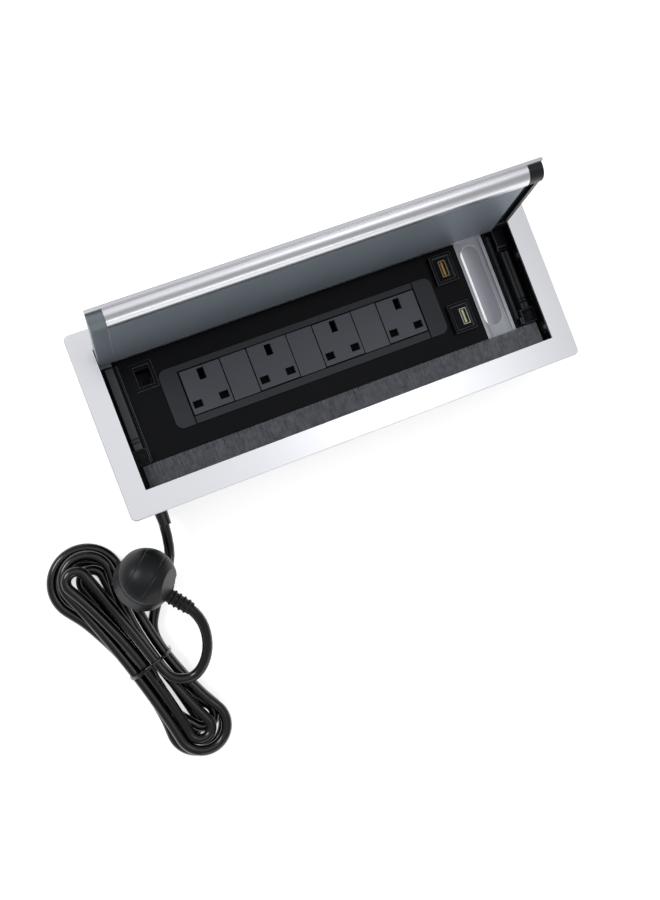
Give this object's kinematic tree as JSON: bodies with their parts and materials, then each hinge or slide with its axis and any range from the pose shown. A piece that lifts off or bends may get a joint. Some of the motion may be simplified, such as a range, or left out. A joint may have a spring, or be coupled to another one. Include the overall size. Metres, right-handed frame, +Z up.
{
  "type": "desk socket box",
  "caption": "Recessed desk socket box with hinged lid, mains sockets, USB and network ports, brush cable entry and plug lead.",
  "frame": {"origin": "centre of the underside of the box, below the middle of the bezel frame", "axes": "+X along the box to the right with the brush edge towards the viewer, -Y towards the brush edge, +Y towards the hinge, +Z up"},
  "size_m": [0.4738, 0.3494, 0.1686],
  "materials": {
    "satin_aluminium": "satin brushed",
    "powder_black": "fine matte powder coat",
    "deck_black": "fine matte",
    "tile_graphite": "fine satin",
    "panel_slate": "satin",
    "cap_grey": "satin",
    "chute_grey": "satin",
    "brush_grey": "bristles",
    "inner_white": "moulded",
    "brass": "stamped",
    "steel": "zinc plated",
    "gilt": "plated",
    "board_green": "lacquered board",
    "tongue_lime": "moulded",
    "cord_black": "smooth satin sheath",
    "plug_black": "smooth satin",
    "buffer_rubber": "matte",
    "fuse_white": "ceramic"
  },
  "bodies": {
    "box": {"bezel_frame": "satin_aluminium", "box_body": "powder_black", "bottom_cover": "powder_black", "frame_screws": "steel", "cover_screws": "steel", "deck_plate": "deck_black", "strip_surround": "tile_graphite", "socket_base": "inner_white", "shutter_springs": "steel", "live_busbar": "brass", "neutral_busbar": "brass", "earth_busbar": "brass", "usb_housing_1": "tile_graphite", "usb_housing_2": "tile_graphite", "usb_shells": "gilt", "usb_tongues": "tongue_lime", "usb_board": "board_green", "network_bezel": "tile_graphite", "network_jack": "deck_black", "network_contacts": "gilt", "cable_chute": "chute_grey", "brush_rail": "satin_aluminium", "brush_bristles": "brush_grey", "side_rail_left": "powder_black", "side_rail_right": "powder_black", "stop_block_left": "deck_black", "stop_block_right": "deck_black", "buffers": "buffer_rubber", "rear_block_left": "cap_grey", "rear_block_right": "cap_grey", "hinge_bracket_left": "steel", "hinge_bracket_right": "steel", "hinge_pins": "steel", "cord_gland": "cord_black", "supply_lead": "cord_black", "cord_hank": "cord_black", "hank_tie": "cord_black", "plug_lead": "cord_black", "plug_base": "plug_black", "plug_cover": "plug_black", "plug_relief": "cord_black", "plug_pins": "brass", "plug_fuse": "fuse_white", "socket_face_1": "tile_graphite", "socket_face_2": "tile_graphite", "socket_face_3": "tile_graphite", "socket_face_4": "tile_graphite", "blank_tile_1": "tile_graphite", "blank_tile_2": "tile_graphite", "blank_tile_3": "tile_graphite"},
    "lid": {"lid_panel": "satin_aluminium", "lid_inner_panel": "panel_slate", "lid_cap_left": "cap_grey", "lid_cap_right": "deck_black", "hinge_bushes": "steel"},
    "shutter_1": {"socket_shutter_1": "inner_white"},
    "shutter_2": {"socket_shutter_2": "inner_white"},
    "shutter_3": {"socket_shutter_3": "inner_white"},
    "shutter_4": {"socket_shutter_4": "inner_white"}
  },
  "joints": [
    {"name": "lid_hinge", "type": "hinge", "parent": "box", "child": "lid", "pos_m": [0, 0.053, 0.0644], "axis": [1, 0, 0], "range_deg": [0, 96]},
    {"name": "shutter_slide_1", "type": "slide", "parent": "box", "child": "shutter_1", "axis": [0, -1, 0], "range_m": [0, 0.0065], "stiffness_N_per_m": 60, "springref_m": -0.002},
    {"name": "shutter_slide_2", "type": "slide", "parent": "box", "child": "shutter_2", "axis": [0, -1, 0], "range_m": [0, 0.0065], "stiffness_N_per_m": 60, "springref_m": -0.002},
    {"name": "shutter_slide_3", "type": "slide", "parent": "box", "child": "shutter_3", "axis": [0, -1, 0], "range_m": [0, 0.0065], "stiffness_N_per_m": 60, "springref_m": -0.002},
    {"name": "shutter_slide_4", "type": "slide", "parent": "box", "child": "shutter_4", "axis": [0, -1, 0], "range_m": [0, 0.0065], "stiffness_N_per_m": 60, "springref_m": -0.002}
  ]
}
